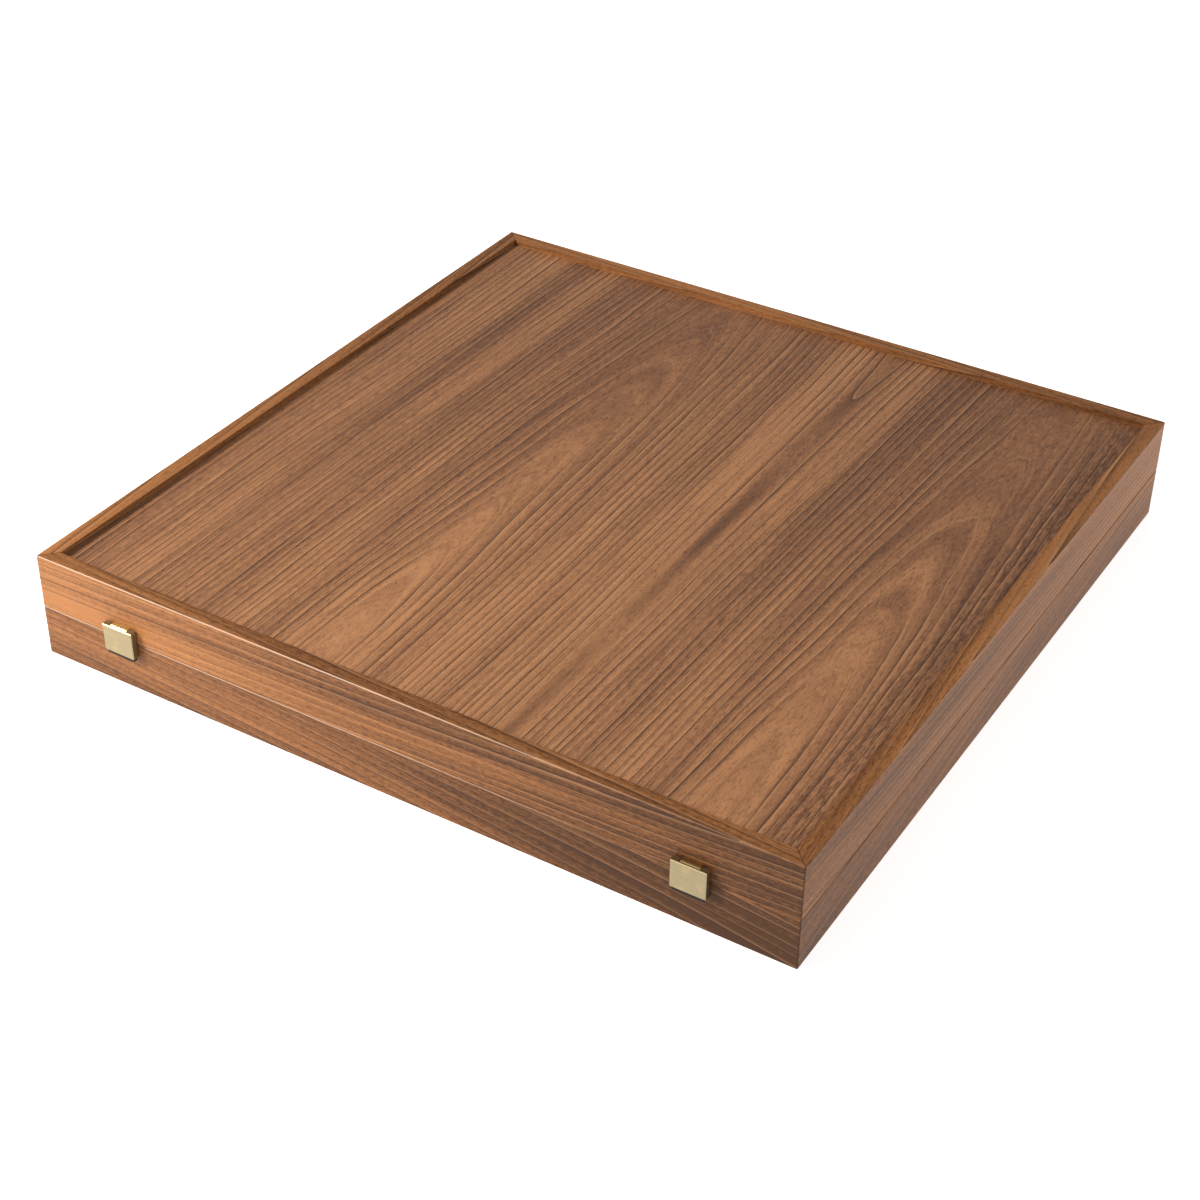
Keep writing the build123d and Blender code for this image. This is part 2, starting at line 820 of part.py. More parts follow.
# The two rows of pockets share the tray's depth, with the same gap before, between and after them
foot_heights = {kind: foot_height(kind) for kind in chessmen}
pawn_start, pawn_end = pocket_ends("pawn")
piece_start, piece_end = pocket_ends("king")
row_gap = (tray_outer - tray_inner - (pawn_end - pawn_start) - (piece_end - piece_start)) / 3
pawn_row_base = row_gap - pawn_start
piece_row_base = pawn_row_base + pawn_end + row_gap - piece_start


def lying(kind, x, row_base, colour):
    """Plane of a man's foot as it lies in its pocket, normal towards its head."""
    angle, z = lean(kind), tray_floor + foot_heights[kind]
    facing = 1 if colour == "light" else -1
    return Plane(
        origin=(facing * x, facing * (row_base - tray_outer), z),
        x_dir=(facing, 0, 0),
        z_dir=(0, facing * cos(angle), -sin(angle)),
    )


def places(kind, colour):
    """Planes of every man of one kind and colour."""
    if kind == "pawn":
        return [lying(kind, x, pawn_row_base, colour) for x in column_places]
    return [lying(kind, x, piece_row_base, colour) for x, who in zip(column_places, back_row) if who == kind]


def pocket_outline(kind):
    """A man's pocket seen from above, foot end at Y 0 towards the front, tapering to the head."""
    _, (_, foot, _, _), _, _, head_half_width = chessmen[kind]
    start, end = pocket_ends(kind)
    wide, narrow = foot + pocket_clearance, head_half_width + pocket_clearance
    with BuildSketch() as outline:
        with BuildLine():
            Polyline(
                (-wide, start),
                (wide, start),
                (wide, foot_rim),
                (narrow, end),
                (-narrow, end),
                (-wide, foot_rim),
                close=True,
            )
        make_face()
        fillet(outline.vertices(), pocket_corner)
    return outline.sketch


for colour, turn in (("light", 0), ("dark", 180)):
    with BuildPart() as blank:
        with BuildSketch(Plane.XY.offset(tray_floor)):
            with Locations((0, -(tray_outer + tray_inner) / 2)):
                Rectangle(inner_width - 2 * tray_clearance, tray_outer - tray_inner)
            for x, kind in zip(column_places, back_row):
                with Locations((x, pawn_row_base - tray_outer)):
                    add(pocket_outline("pawn"), mode=Mode.SUBTRACT)
                with Locations((x, piece_row_base - tray_outer)):
                    add(pocket_outline(kind), mode=Mode.SUBTRACT)
        extrude(amount=tray_top - tray_floor)
    with BuildPart() as tray:
        add(blank.part, rotation=(0, 0, turn))
    save(tray, f"{colour}_men_tray")

with BuildPart() as tray_base_sheet:
    with BuildSketch(Plane.XY.offset(base_panel_top)):
        Rectangle(inner_width - 2 * tray_clearance, inner_depth - 2 * tray_clearance)
    extrude(amount=tray_floor_thickness)
save(tray_base_sheet, "tray_base_sheet")

for colour in ("light", "dark"):
    for kind, (solid, *_) in chessmen.items():
        with BuildPart() as men:
            with Locations(*places(kind, colour)):
                add(solid)
        name = kind if kind in ("king", "queen") else f"{kind}s"
        save(men, f"{colour}_{name}")
    with BuildPart() as felts:
        for kind, (_, (_, foot, _, _), *_) in chessmen.items():
            with Locations(*[plane.offset(-felt_thickness / 2) for plane in places(kind, colour)]):
                Cylinder(foot - felt_margin, felt_thickness)
    save(felts, f"{colour}_men_felts")

print("rows", round(row_gap, 2), round(pawn_row_base, 2), round(piece_row_base, 2))
print("hinge axis", 0, hinge_axis_y, seam, "case height", case_height)
print("foot heights", {kind: round(height, 2) for kind, height in foot_heights.items()})
print("lean of each man", {kind: round(degrees(lean(kind)), 2) for kind in chessmen})
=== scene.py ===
import math

import bmesh
import bpy
from mathutils import Matrix, Vector


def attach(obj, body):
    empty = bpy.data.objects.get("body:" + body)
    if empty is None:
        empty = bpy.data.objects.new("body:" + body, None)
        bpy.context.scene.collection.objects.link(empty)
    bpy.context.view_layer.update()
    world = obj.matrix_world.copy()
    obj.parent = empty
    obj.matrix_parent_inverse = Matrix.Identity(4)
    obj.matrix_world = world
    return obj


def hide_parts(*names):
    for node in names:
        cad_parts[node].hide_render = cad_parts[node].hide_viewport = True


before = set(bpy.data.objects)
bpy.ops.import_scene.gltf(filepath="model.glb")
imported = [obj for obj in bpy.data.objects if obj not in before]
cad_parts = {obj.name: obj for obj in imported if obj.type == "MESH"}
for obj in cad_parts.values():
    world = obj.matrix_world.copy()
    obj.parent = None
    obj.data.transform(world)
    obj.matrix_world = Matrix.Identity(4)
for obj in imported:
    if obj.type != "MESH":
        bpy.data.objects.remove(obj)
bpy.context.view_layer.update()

# A closed walnut case on a white table, seen from its front right corner.
# Everything is in metres, in the part's own frame: +Z up, the clasps at -Y, the hinges at +Y.


class Shader:
    """A material's nodes, with a short call for each kind that is used here."""

    def __init__(self, name):
        self.material = bpy.data.materials.new(name)
        self.material.use_nodes = True
        self.tree = self.material.node_tree
        self.tree.nodes.clear()
        self.output = self.tree.nodes.new("ShaderNodeOutputMaterial")
        self.coordinates = self.tree.nodes.new("ShaderNodeTexCoord")

    def add(self, kind, inputs, **settings):
        """Makes a node. Inputs are sockets to link or plain values to set."""
        node = self.tree.nodes.new(kind)
        for setting, value in settings.items():
            setattr(node, setting, value)
        for key, value in inputs.items():
            if isinstance(value, bpy.types.NodeSocket):
                self.tree.links.new(value, node.inputs[key])
            else:
                node.inputs[key].default_value = value
        return node

    def math(self, operation, a, b=0.0, c=0.0):
        return self.add("ShaderNodeMath", {0: a, 1: b, 2: c}, operation=operation).outputs[0]

    def place(self):
        """The point's x, y and z on the object at rest."""
        return self.add("ShaderNodeSeparateXYZ", {0: self.coordinates.outputs["Object"]}).outputs

    def normal(self):
        """The x, y and z of the surface's own direction at rest."""
        return self.add("ShaderNodeSeparateXYZ", {0: self.coordinates.outputs["Normal"]}).outputs

    def vector(self, x, y, z=0.0):
        return self.add("ShaderNodeCombineXYZ", {0: x, 1: y, 2: z}).outputs[0]

    def stretched(self, parts, scales, shift=0.0):
        """A noise vector from three coordinates, each with its own scale per metre."""
        scaled = [self.math("MULTIPLY_ADD", part, scale, shift) for part, scale in zip(parts, scales)]
        return self.vector(*scaled)

    def ringed(self, turns, along, scales, shift):
        """A noise vector that follows the rings, with a scale per ring and one per metre along the wood."""
        per_ring, per_metre = scales
        turns = self.math("MULTIPLY", turns, per_ring)
        return self.vector(turns, self.math("MULTIPLY", along, per_metre), shift)

    def noise(self, vector, scale=1.0, detail=2.0, roughness=0.5):
        inputs = {"Vector": vector, "Scale": scale, "Detail": detail, "Roughness": roughness}
        return self.add("ShaderNodeTexNoise", inputs).outputs[0]

    def between(self, value, low, high, from_value=0.0, to_value=1.0):
        """Runs smoothly from one value to another while the input goes from low to high."""
        inputs = {"Value": value, 1: low, 2: high, 3: from_value, 4: to_value}
        return self.add("ShaderNodeMapRange", inputs, interpolation_type="SMOOTHSTEP").outputs[0]

    def ramp(self, value, stops):
        node = self.add("ShaderNodeValToRGB", {0: value})
        elements = node.color_ramp.elements
        while len(elements) < len(stops):
            elements.new(0.5)
        for element, (position, colour) in zip(elements, stops):
            element.position = position
            element.color = (*colour, 1.0)
        return node.outputs[0]

    def mix(self, factor, a, b):
        a, b = ((*c, 1.0) if isinstance(c, tuple) else c for c in (a, b))
        node = self.add("ShaderNodeMix", {}, data_type="RGBA")
        for socket, value in zip((node.inputs[0], node.inputs[6], node.inputs[7]), (factor, a, b)):
            if isinstance(value, bpy.types.NodeSocket):
                self.tree.links.new(value, socket)
            else:
                socket.default_value = value
        return node.outputs[2]

    def bump(self, height, strength, distance):
        inputs = {"Height": height, "Strength": strength, "Distance": distance}
        return self.add("ShaderNodeBump", inputs).outputs[0]

    def finish(self, colour, roughness, normal=None, **sockets):
        """Ends the material in one principled surface. Names of other sockets use _ for a space."""
        if isinstance(colour, tuple):
            colour = (*colour, 1.0)
        inputs = {"Base Color": colour, "Roughness": roughness}
        if normal is not None:
            inputs["Normal"] = normal
        for key, value in sockets.items():
            inputs[key.replace("_", " ")] = value
        surface = self.add("ShaderNodeBsdfPrincipled", inputs)
        self.tree.links.new(surface.outputs[0], self.output.inputs["Surface"])
        return self.material


# Wood

walnut_tones = ((0.090, 0.041, 0.024), (0.170, 0.075, 0.038), (0.285, 0.130, 0.060), (0.43, 0.205, 0.092))
walnut_pale_line = (0.52, 0.27, 0.13)
walnut_line = (0.040, 0.018, 0.011)
# Cream of the painted highlight along the front edges of the front rails
walnut_edge_highlight = (0.66, 0.45, 0.32)
case_height = 0.069
seam_height = 0.0334
edge_line = (0.0003, 0.0006)
edge_line_back = (0.2492, 0.2495)
mitre_line = (0.00015, 0.00055)
slow_wave = 0.013
fine_wave = 0.0032
trunk_blend = 0.03


def wood(
    name,
    axes,
    hearts,
    ring=0.0046,
    shift=0.0,
    tones=walnut_tones,
    line=walnut_line,
    pale_line=walnut_pale_line,
    brightness=0.0,
    lines=1.0,
    wave=1.0,
    pores=0.55,
    edges=0.0,
    mitres_and_painted_light_tops=False,
    gloss=0.40,
    painted_light_drift=0.0,
    coarse=None,
    shine=0.25,
):
    """Wood sawn from a trunk. axes gives the order of across, along and depth.
    Each heart is the trunk's middle: its place across, its depth and how far the depth leans per metre.
    drift lightens its upright faces per metre along it: painted light, one end lighter and the other darker
    as the light falls across the case. coarse is where across it the open pores begin.
    edges is how strong the pale line is along its front edges, at the top and at the seam."""
    s = Shader(name)
    place = s.place()
    across, along, depth = (place[axis] for axis in axes)

    slow = s.noise(s.stretched((across, along, depth), (9.0, 2.2, 9.0), shift), detail=2.0)
    ripple = s.noise(s.stretched((across, along, depth), (45.0, 9.0, 45.0), shift + 3.1), detail=3.0)
    radius = flank = None
    for heart_across, heart_depth, lean in hearts:
        aside = s.math("SUBTRACT", across, heart_across)
        below = s.math("ADD", s.math("MULTIPLY_ADD", along, lean, -heart_depth), depth)
        squared = s.math("ADD", s.math("MULTIPLY", aside, aside), s.math("MULTIPLY", below, below))
        distance = s.math("SQRT", squared)
        slope = s.math("DIVIDE", s.math("ABSOLUTE", aside), distance)
        flank = slope if flank is None else s.math("MINIMUM", flank, slope)
        radius = distance if radius is None else s.math("SMOOTH_MIN", radius, distance, trunk_blend)
    radius = s.math("MULTIPLY_ADD", slow, slow_wave * wave, radius)
    radius = s.math("MULTIPLY_ADD", ripple, fine_wave * wave, radius)
    turns = s.math("DIVIDE", radius, ring)

    uneven = s.noise(s.ringed(turns, along, (0.55, 1.5), shift), detail=3.0)
    turns = s.math("MULTIPLY_ADD", uneven, 1.6, turns)
    part = s.math("FRACT", turns)
    strength = s.noise(s.ringed(turns, along, (0.9, 6.0), shift + 7.0), detail=2.0)
    strength = s.between(strength, 0.28, 0.58, 0.15, 1.0)
    steep = s.between(flank, 0.25, 0.75)
    late = s.math("MULTIPLY", s.math("POWER", part, 4.0), s.math("MULTIPLY", strength, steep))
    early = s.math("POWER", s.math("SUBTRACT", 1.0, part), s.math("MULTIPLY_ADD", steep, -28.0, 36.0))
    early = s.math("MULTIPLY", early, strength)

    fleck = s.stretched((across, along, depth), (900.0, 210.0, 900.0), shift)
    fleck = s.noise(fleck, detail=3.0, roughness=0.75)
    fibre = s.noise(s.ringed(turns, along, (2.6, 9.0), shift + 1.7), detail=4.0, roughness=0.7)
    band = s.noise(s.ringed(turns, along, (0.13, 0.9), shift + 2.0), detail=2.0)
    patch = s.noise(s.stretched((across, along, depth), (7.0, 1.3, 7.0), shift + 5.0), detail=1.0)

    tone = s.math("MULTIPLY_ADD", s.math("SUBTRACT", band, 0.5), 1.4, 0.59 + brightness)
    tone = s.math("MULTIPLY_ADD", s.math("SUBTRACT", patch, 0.5), 0.6, tone)
    tone = s.math("MULTIPLY_ADD", s.math("SUBTRACT", fibre, 0.5), 0.75, tone)
    tone = s.math("MULTIPLY_ADD", s.math("SUBTRACT", fleck, 0.5), 1.5, tone)
    facing = s.normal()
    # Painted light: upright faces lighter towards one end and darker towards the other, as the light falls
    # across the case; top faces a little too
    if painted_light_drift:
        per_metre = s.between(s.math("ABSOLUTE", facing[2]), 0.1, 0.5, painted_light_drift, 0.15)
        tone = s.math("MULTIPLY_ADD", along, per_metre, tone)
    # Painted light: faces that look up are painted a little lighter, as lit from above
    if mitres_and_painted_light_tops:
        tone = s.math("ADD", tone, s.between(s.math("ABSOLUTE", facing[2]), 0.5, 0.9, 0.0, 0.08))
    colour = s.ramp(tone, [(0.12, tones[0]), (0.36, tones[1]), (0.60, tones[2]), (0.88, tones[3])])

    pore = s.math("MULTIPLY", s.between(fleck, 0.55, 0.63), s.between(fibre, 0.40, 0.62, 1.0, 0.3))
    if coarse is not None:
        dash = s.noise(s.stretched((across, along, depth), (900.0, 120.0, 900.0), shift + 9.0), detail=2.0)
        dash = s.math("MULTIPLY", s.between(dash, 0.48, 0.58), s.between(across, coarse, coarse + 0.02))
        pore = s.math("MAXIMUM", pore, dash)
    colour = s.mix(s.math("MULTIPLY", early, 0.6 * lines), colour, pale_line)
    colour = s.mix(s.math("MULTIPLY", late, lines), colour, line)
    colour = s.mix(s.math("MULTIPLY", pore, pores), colour, line)

    # Painted highlight: a pale line along the front top edge and the seam, where the edge catches the key
    # light, fading along the rail away from it
    if edges:
        from_top = s.math("ABSOLUTE", s.math("SUBTRACT", place[2], case_height))
        from_seam = s.math("ABSOLUTE", s.math("SUBTRACT", place[2], seam_height))
        near_edge = s.between(s.math("MINIMUM", from_top, from_seam), *edge_line, 1.0, 0.0)
        at_face = s.between(s.math("ABSOLUTE", place[1]), *edge_line_back)
        painted_edge_highlight = s.math("MULTIPLY", near_edge, at_face)
        painted_edge_highlight = s.math("MULTIPLY", painted_edge_highlight, s.between(along, -0.02, 0.2, edges, 0.12))
        colour = s.mix(painted_edge_highlight, colour, walnut_edge_highlight)
    if mitres_and_painted_light_tops:
        apart = s.math("SUBTRACT", s.math("ABSOLUTE", place[0]), s.math("ABSOLUTE", place[1]))
        joint = s.between(s.math("ABSOLUTE", apart), *mitre_line, 1.0, 0.0)
        colour = s.mix(s.math("MULTIPLY", joint, 0.8), colour, line)

    raised = s.math("MULTIPLY", fibre, 0.5)
    sunk = s.math("ADD", pore, s.math("MULTIPLY", late, 0.5))
    relief = s.math("SUBTRACT", raised, sunk)
    roughness = s.math("MULTIPLY_ADD", fibre, 0.14, gloss)
    return s.finish(colour, roughness, s.bump(relief, 0.25, 0.00012), Specular_IOR_Level=shine)


X, Y, Z = 0, 1, 2
panel_walnut = wood(
    "panel_walnut", (X, Y, Z), ((-0.058, 0.087, -0.062), (0.19, 0.092, -0.05)), pores=0.5, coarse=0.212
)
base_panel_walnut = wood("base_panel_walnut", (X, Y, Z), ((0.06, -0.05, 0.2),), shift=4.0, gloss=0.5)
rail_tones = ((0.062, 0.024, 0.008), (0.135, 0.052, 0.017), (0.235, 0.094, 0.031), (0.37, 0.155, 0.053))
# The axes across, along and into each rail, its trunk's heart across and deep, the heart's lean,
# how much brighter the rail is than plain walnut, and how much lighter its upright faces are painted per
# metre along, a painted light gradient
rails = {
    "lid_front_rail": (Z, X, Y, 0.105, -0.275, 0.06, -0.07, -1.3),
    "lid_back_rail": (Z, X, Y, 0.02, 0.30, 0.05, -0.06, 0.0),
    "lid_right_rail": (Z, Y, X, 0.10, 0.27, 0.07, -0.02, 0.3),
    "lid_left_rail": (Z, Y, X, 0.02, -0.28, 0.04, -0.06, 0.0),
    "base_front_rail": (Z, X, Y, -0.04, -0.30, 0.10, -0.26, -0.9),
    "base_back_rail": (Z, X, Y, 0.05, 0.29, 0.07, -0.18, 0.0),
    "base_right_rail": (Z, Y, X, -0.02, 0.30, 0.05, -0.17, 1.1),
    "base_left_rail": (Z, Y, X, 0.06, -0.29, 0.05, -0.18, 0.0),
}
rail_materials = {}
for number, (name, rail) in enumerate(rails.items()):
    across, along, depth, heart, heart_depth, lean, brightness, painted_light_drift = rail
    rail_materials[name] = wood(
        name.replace("_rail", "_walnut"),
        (across, along, depth),
        ((heart, heart_depth, lean),),
        ring=0.0042,
        shift=1.0 + number,
        tones=rail_tones,
        brightness=brightness,
        lines=0.75,
        wave=0.5,
        pores=0.45,
        edges=0.7 if "front" in name else 0.0,
        mitres_and_painted_light_tops=True,
        painted_light_drift=painted_light_drift,
        shine=0.14,
    )
dark_tones = ((0.028, 0.012, 0.007), (0.060, 0.026, 0.014), (0.105, 0.046, 0.024), (0.16, 0.075, 0.038))
pale_tones = ((0.42, 0.25, 0.12), (0.56, 0.36, 0.18), (0.66, 0.45, 0.25), (0.74, 0.54, 0.32))
pale_line = (0.36, 0.20, 0.09)
core_tones = ((0.30, 0.19, 0.10), (0.36, 0.24, 0.13), (0.42, 0.28, 0.16), (0.47, 0.33, 0.19))
dark_wood = {"tones": dark_tones, "pale_line": dark_tones[3]}
pale_wood = {"tones": pale_tones, "line": pale_line, "pale_line": pale_tones[3]}
core_wood = {"tones": core_tones, "line": pale_line, "pale_line": core_tones[3]}
board_border = {}
for number, side in enumerate(("front", "right", "back", "left")):
    board_border[side] = wood(
        f"border_walnut_{side}",
        (Y, X, Z) if side in ("front", "back") else (X, Y, Z),
        ((0.05, -0.12, 0.1),),
        shift=11.0 + number,
        mitres_and_painted_light_tops=True,
        gloss=0.3,
        **dark_wood,
    )
dark_square = wood("dark_square_wood", (X, Y, Z), ((0.07, -0.16, 0.2),), shift=16.0, gloss=0.3, **dark_wood)
light_square = wood(
    "light_square_wood",
    (X, Y, Z),
    ((-0.05, -0.2, 0.2),),
    ring=0.004,
    shift=17.0,
    lines=0.35,
    pores=0.2,
    gloss=0.3,
    **pale_wood,
)
board_core = wood(
    "board_core_wood",
    (X, Y, Z),
    ((0.0, -0.2, 0.1),),
    shift=18.0,
    lines=0.3,
    pores=0.2,
    gloss=0.6,
    **core_wood,
)
man_heart = ((0.0, -0.06, 0.05),)
light_man = wood(
    "light_man_wood",
    (X, Y, Z),
    man_heart,
    ring=0.0022,
    shift=19.0,
    lines=0.4,
    wave=0.4,
    pores=0.15,
    gloss=0.22,
    **pale_wood,
)
dark_man = wood(
    "dark_man_wood",
    (X, Y, Z),
    man_heart,
    ring=0.0026,
    shift=20.0,
    wave=0.4,
    pores=0.4,
    gloss=0.22,
    **dark_wood,
)

# Metal, plastic and cloth


def metal(name, colour, roughness, brush=(25.0, 900.0, 900.0), marks=0.10, tarnish=(0.55, 0.40, 0.18)):
    """Brushed or drawn metal, with fine scratches along X and a little tarnish in patches."""
    s = Shader(name)
    place = s.place()
    scratch = s.noise(s.stretched(place, brush), detail=3.0, roughness=0.7)
    cloud = s.noise(s.coordinates.outputs["Object"], scale=160.0, detail=3.0)
    shade = s.mix(s.between(cloud, 0.5, 0.8, 0.0, 0.35), colour, tarnish)
    dark = tuple(0.7 * c for c in colour)
    shade = s.mix(s.math("MULTIPLY", s.between(scratch, 0.35, 0.7), 0.18), shade, dark)
    rough = s.math("MULTIPLY_ADD", scratch, marks, roughness)
    return s.finish(shade, rough, s.bump(scratch, 0.15, 0.00002), Metallic=1.0)


def cloth(name, colour, pale, fuzz, scale=2600.0, weave=None):
    """Flocked foam or felt: short fibres in clumps. With weave, crossing threads instead."""
    s = Shader(name)
    place = s.place()
    clump = s.noise(s.coordinates.outputs["Object"], scale=scale / 9, detail=3.0)
    if weave:
        warp = s.math("SINE", s.math("MULTIPLY", place[0], weave))
        weft = s.math("SINE", s.math("MULTIPLY", s.math("ADD", place[1], place[2]), weave))
        fine = s.math("MULTIPLY_ADD", s.math("MULTIPLY", warp, weft), 0.5, 0.5)
    else:
        fine = s.noise(s.coordinates.outputs["Object"], scale=scale, detail=4.0, roughness=0.7)
    height = s.math("MULTIPLY_ADD", clump, 0.6, fine)
    shade = s.mix(s.between(height, 0.5, 1.1), colour, pale)
    return s.finish(shade, 0.9, s.bump(height, 0.6, fuzz), Sheen_Weight=0.5, Sheen_Roughness=0.4)


def plastic(name, colour, roughness):
    """Fine-grained moulded plastic."""
    s = Shader(name)
    grain = s.noise(s.coordinates.outputs["Object"], scale=3000.0, detail=2.0)
    shade = s.mix(s.between(grain, 0.3, 0.8), colour, tuple(1.6 * c for c in colour))
    rough = s.math("MULTIPLY_ADD", grain, 0.15, roughness)
    return s.finish(shade, rough, s.bump(grain, 0.3, 0.00003), Specular_IOR_Level=0.2)


satin_brass = metal("satin_brass", (0.32, 0.265, 0.16), 0.36)
hinge_brass = metal("hinge_brass", (0.62, 0.47, 0.22), 0.28)
bright_brass = metal("bright_brass", (0.66, 0.52, 0.25), 0.18, marks=0.05)
bright_steel = metal("bright_steel", (0.55, 0.55, 0.54), 0.25, tarnish=(0.36, 0.34, 0.31))
nickel = metal("nickel", (0.60, 0.59, 0.57), 0.15, marks=0.05, tarnish=(0.42, 0.40, 0.37))
# Nearly black: partly the carrier's own plastic, partly painted shadow, as its lip shows as the dark band
# below each clasp flap where the flap's shadow falls
black_plastic = plastic("black_plastic", (0.006, 0.006, 0.007), 0.5)
green_flock = cloth("green_flock", (0.010, 0.050, 0.024), (0.028, 0.105, 0.055), 0.0004)
green_felt = cloth("green_felt", (0.014, 0.060, 0.030), (0.035, 0.12, 0.065), 0.0003, scale=1800.0)
green_ribbon = cloth("green_ribbon", (0.012, 0.060, 0.030), (0.030, 0.13, 0.07), 0.0001, weave=9000.0)


def material_of(node):
    """Which material a carried-over node takes, from its name."""
    if node in rail_materials:
        return rail_materials[node]
    if node.endswith("_border"):
        return board_border[node.split("_")[1]]
    named = {
        "lid_panel": panel_walnut,
        "base_panel": base_panel_walnut,
        "board_core": board_core,
        "dark_squares": dark_square,
        "light_squares": light_square,
        "tray_base_sheet": green_flock,
        "light_men_tray": green_flock,
        "dark_men_tray": green_flock,
        "lid_magnets": nickel,
        "board_steel_discs": bright_steel,
        "board_ribbon": green_ribbon,
    }
    if node in named:
        return named[node]
    endings = {
        "_clasp_flap": satin_brass,
        "_clasp_plate": bright_brass,
        "_clasp_pin": bright_steel,
        "_clasp_keeper": bright_steel,
        "_clasp_magnets": nickel,
        "_magnet_carrier": black_plastic,
        "_hinge_pin": bright_steel,
        "_leaf": hinge_brass,
        "_screws": hinge_brass,
        "_felts": green_felt,
    }
    for ending, material in endings.items():
        if node.endswith(ending):
            return material
    return light_man if node.startswith("light_") else dark_man


for name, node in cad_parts.items():
    node.data.materials.clear()
    node.data.materials.append(material_of(name))

# Soft pieces and carving, each in place of a plain solid


def worked(mesh, modifiers, weight=None):
    """The mesh after some modifiers. weight says how strongly a point follows them."""
    carrier = bpy.data.objects.new("carrier", mesh)
    bpy.context.collection.objects.link(carrier)
    if weight:
        group = carrier.vertex_groups.new(name="weight")
        for point in mesh.vertices:
            group.add([point.index], weight(point.co), "REPLACE")
    for kind, settings in modifiers:
        modifier = carrier.modifiers.new(kind, kind)
        for setting, value in settings.items():
            setattr(modifier, setting, value)
    evaluated = carrier.evaluated_get(bpy.context.evaluated_depsgraph_get())
    result = bpy.data.meshes.new_from_object(evaluated)
    bpy.data.objects.remove(carrier)
    return result


def new_piece(name, mesh, material, body, node):
    """A piece with its own mesh, in place of a node."""
    piece = bpy.data.objects.new(name, mesh)
    bpy.context.collection.objects.link(piece)
    mesh.materials.clear()
    mesh.materials.append(material)
    mesh.shade_smooth()
    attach(piece, body)
    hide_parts(node)
    return piece


def worn(node, voxel, steps):
    """A foam block with its edges and pockets worn round."""
    even = ("REMESH", {"mode": "VOXEL", "voxel_size": voxel})
    soft = ("SMOOTH", {"factor": 0.5, "iterations": steps})
    return worked(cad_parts[node].data.copy(), [even, soft])


def eased(node, edge):
    """A flat cut piece with its cut edges rounded over."""
    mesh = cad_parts[node].data.copy()
    shape = bmesh.new()
    shape.from_mesh(mesh)
    bmesh.ops.remove_doubles(shape, verts=shape.verts, dist=0.00001)
    bmesh.ops.dissolve_limit(shape, angle_limit=0.02, verts=shape.verts, edges=shape.edges)
    cut = [side for side in shape.edges if side.is_manifold and side.calc_face_angle() > 0.8]
    bmesh.ops.bevel(shape, geom=cut, offset=edge, segments=3, profile=0.5, affect="EDGES")
    shape.to_mesh(mesh)
    shape.free()
    return mesh


for colour in ("light", "dark"):
    node = f"{colour}_men_tray"
    tray = worn(node, voxel=0.002, steps=3)
    foam = new_piece(f"{colour}_foam_tray", tray, green_flock, "base", node)
    node = f"{colour}_men_felts"
    felts = eased(node, edge=0.00025)
    feet = new_piece(f"{colour}_felt_feet", felts, green_felt, "base", node)

eased_sheet = eased("tray_base_sheet", edge=0.0006)
foam_sheet = new_piece("foam_base_sheet", eased_sheet, green_flock, "base", "tray_base_sheet")

# The ribbon is glued over the board, wraps its front border and ends in a loose tab under it
ribbon_width = 0.012
ribbon_route = ((-0.2073, 0.06055), (-0.2376, 0.06055), (-0.2376, 0.0464), (-0.2120, 0.0464))
ribbon_step = 0.0004
ribbon_bend = 3
ribbon_half = 0.0002
selvedge_half = 0.00027
tab_below = 0.0465
tab_behind = -0.236
tab_wave = 0.00012


def ribbon_line():
    """Points along the ribbon, evenly spaced, its two bends rounded and its tab a little wavy."""
    points = []
    for start, end in zip(ribbon_route, ribbon_route[1:]):
        start, end = Vector(start), Vector(end)
        steps = round((end - start).length / ribbon_step)
        points += [start.lerp(end, n / steps) for n in range(steps)]
    points.append(Vector(ribbon_route[-1]))
    line = []
    for n in range(len(points)):
        reach = min(ribbon_bend, n, len(points) - 1 - n)
        near = points[n - reach : n + reach + 1]
        line.append(sum(near, Vector((0.0, 0.0))) / len(near))
    loose = [point for point in line if point[1] < tab_below and point[0] > tab_behind]
    for n, point in enumerate(loose):
        point[1] -= tab_wave * (1.0 - math.cos(6.0 * n / len(loose)))
    return line


def ribbon_mesh():
    """A woven strip, a little thicker along its two edges."""
    shares = (-1.0, -0.96, -0.9, -0.82, -0.4, 0.0, 0.4, 0.82, 0.9, 0.96, 1.0)
    columns = [(share, selvedge_half if abs(share) in (0.9, 0.96) else ribbon_half) for share in shares]
    line = ribbon_line()
    points = []
    for n, point in enumerate(line):
        ahead = line[min(n + 1, len(line) - 1)] - line[max(n - 1, 0)]
        outward = Vector((ahead[1], -ahead[0])).normalized()
        for face in (1, -1):
            for share, half in columns:
                y, z = point + outward * face * half
                points.append((share * ribbon_width / 2, y, z))
    count = len(columns)
    ring = list(range(count)) + list(range(2 * count - 1, count - 1, -1))
    faces = []
    for n in range(len(line) - 1):
        here, there = 2 * count * n, 2 * count * (n + 1)
        for a, b in zip(ring, ring[1:] + ring[:1]):
            faces.append((here + a, here + b, there + b, there + a))
    faces += [tuple(reversed(ring)), tuple(2 * count * (len(line) - 1) + n for n in ring)]
    mesh = bpy.data.meshes.new("ribbon")
    mesh.from_pydata(points, [], faces)
    mesh.validate()
    return mesh


ribbon = new_piece("pull_ribbon", ribbon_mesh(), green_ribbon, "lid", "board_ribbon")

